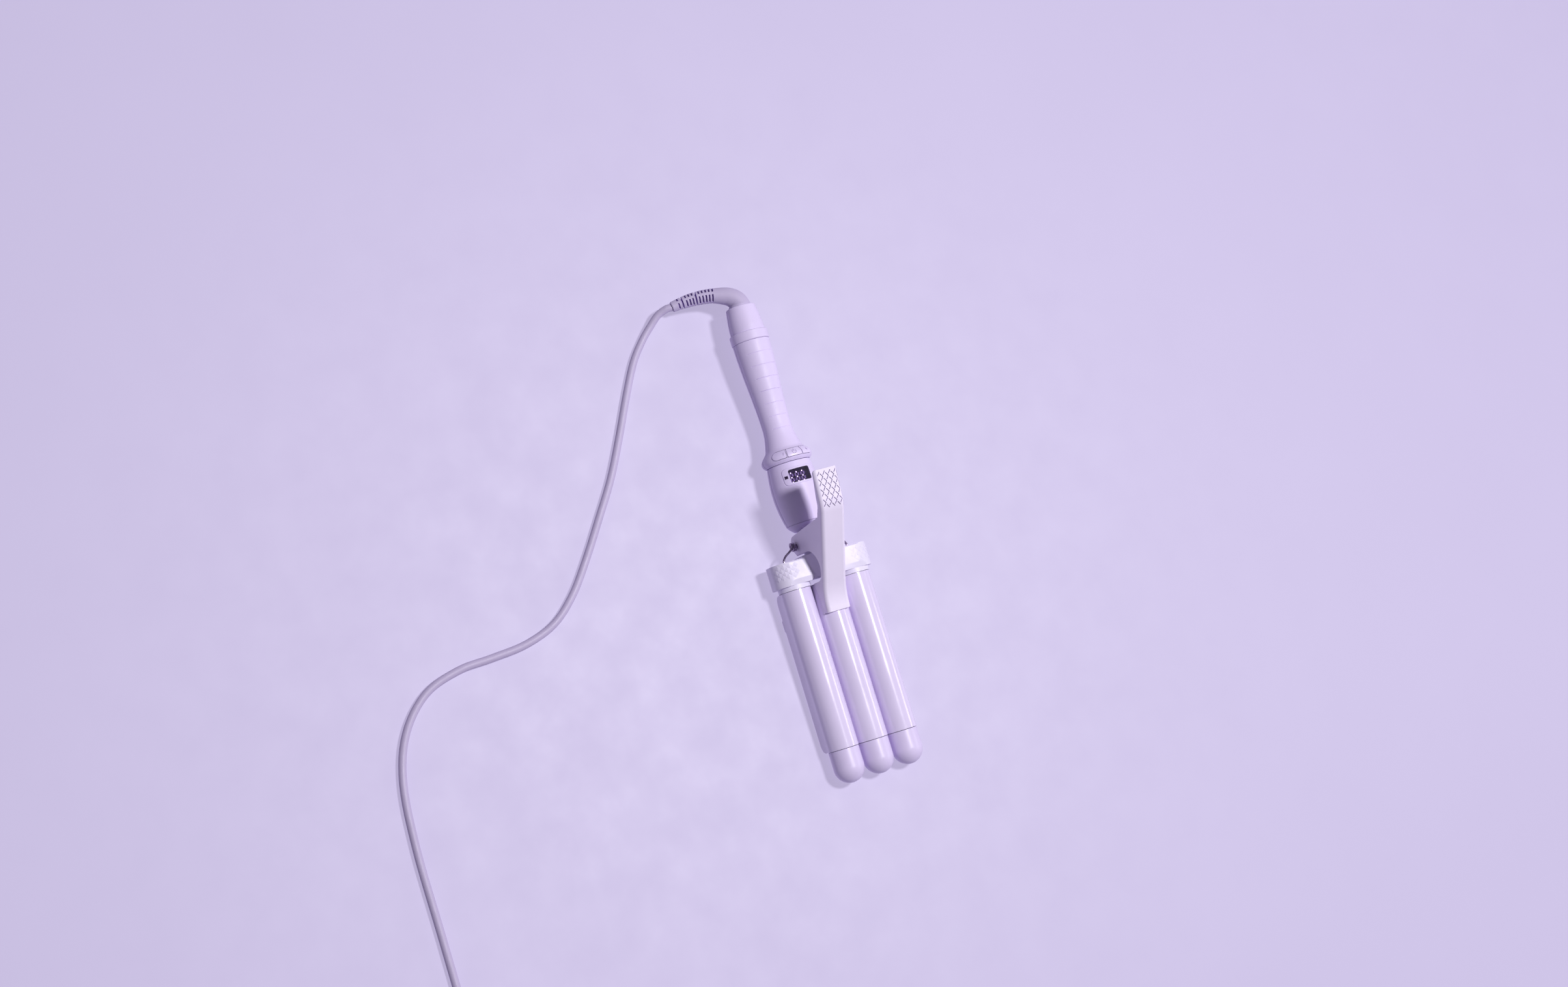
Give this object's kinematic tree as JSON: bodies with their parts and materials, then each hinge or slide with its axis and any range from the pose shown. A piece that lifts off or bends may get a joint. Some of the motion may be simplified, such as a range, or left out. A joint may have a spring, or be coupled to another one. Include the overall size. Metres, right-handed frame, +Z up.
{
  "type": "hair waver",
  "caption": "Hair waver with parallel heated barrels, a sprung lever that lifts the middle barrel, a lit display, press buttons and a swivelling cord.",
  "frame": {"origin": "on the table, under the middle of the waver without its cord, which lies on its back on the button ring and two feet", "axes": "+X from the cord end towards the barrels' tips, +Z up out of the front with the buttons, +Y to the plus button's side"},
  "size_m": [0.5927, 0.4022, 0.0871],
  "materials": {
    "shell_plastic": "soft matt",
    "rear_plastic": "soft matt",
    "lever_plastic": "satin",
    "ceramic_coating": "gloss coating",
    "collar_plastic": "satin",
    "dark_steel": "plain",
    "dark_window": "tinted",
    "lcd_glass": "gloss",
    "digit_white": "lit",
    "white_plastic": "plain",
    "board_green": "plain",
    "aluminium": "plain",
    "heater_ceramic": "plain",
    "foot_rubber": "matt",
    "cord_rubber": "matt",
    "chrome_pins": "nickel plated"
  },
  "bodies": {
    "handle": {"handle_front_shell": "shell_plastic", "handle_rear_shell": "rear_plastic", "handle_band": "shell_plastic", "shell_screws": "dark_steel", "head_front_cover": "shell_plastic", "head_rear_cover": "rear_plastic", "display_bezel": "shell_plastic", "display_window": "dark_window", "lcd_panel": "lcd_glass", "display_digits": "digit_white", "display_holder": "white_plastic", "indicator_lens": "dark_window", "control_board": "board_green", "switch_carrier": "white_plastic", "nose_ring": "shell_plastic", "neck": "collar_plastic", "yoke": "collar_plastic", "hinge_pin": "dark_steel", "spring_left": "dark_steel", "spring_right": "dark_steel", "collar_left": "collar_plastic", "collar_right": "collar_plastic", "sleeve_left": "ceramic_coating", "sleeve_right": "ceramic_coating", "core_left": "aluminium", "core_right": "aluminium", "heater_left": "heater_ceramic", "heater_right": "heater_ceramic", "tip_left": "lever_plastic", "tip_right": "lever_plastic", "back_left": "rear_plastic", "back_right": "rear_plastic", "foot_left": "foot_rubber", "foot_right": "foot_rubber", "cord": "cord_rubber", "cord_coil": "cord_rubber", "cord_tail": "cord_rubber", "mains_plug": "cord_rubber", "plug_pins": "chrome_pins"},
    "lever": {"lever": "lever_plastic", "sleeve_centre": "ceramic_coating", "core_centre": "aluminium", "plug_centre": "lever_plastic", "heater_centre": "heater_ceramic", "tip_centre": "lever_plastic", "barrel_screws": "dark_steel"},
    "button_minus": {"button_minus": "shell_plastic"},
    "button_power": {"button_power": "shell_plastic"},
    "button_plus": {"button_plus": "shell_plastic"},
    "cord_swivel": {"cord_elbow": "cord_rubber"}
  },
  "joints": [
    {"name": "lever_hinge", "type": "hinge", "parent": "handle", "child": "lever", "pos_m": [0.00373, 0, 0.01817], "axis": [0, -1, 0], "range_deg": [0, 16], "stiffness_Nm_per_rad": 0.6, "springref_deg": -34.38},
    {"name": "cord_turn", "type": "hinge", "parent": "handle", "child": "cord_swivel", "pos_m": [-0.18988, 0, 0.0242], "axis": [0.9995, 0, -0.0311], "continuous": true},
    {"name": "minus_press", "type": "slide", "parent": "handle", "child": "button_minus", "axis": [-0.0249, 0.6018, -0.7982], "range_m": [0, 0.0006], "stiffness_N_per_m": 500, "springref_m": -0.0008},
    {"name": "power_press", "type": "slide", "parent": "handle", "child": "button_power", "axis": [-0.0311, 0, -0.9995], "range_m": [0, 0.0006], "stiffness_N_per_m": 500, "springref_m": -0.0008},
    {"name": "plus_press", "type": "slide", "parent": "handle", "child": "button_plus", "axis": [-0.0249, -0.6018, -0.7982], "range_m": [0, 0.0006], "stiffness_N_per_m": 500, "springref_m": -0.0008}
  ]
}
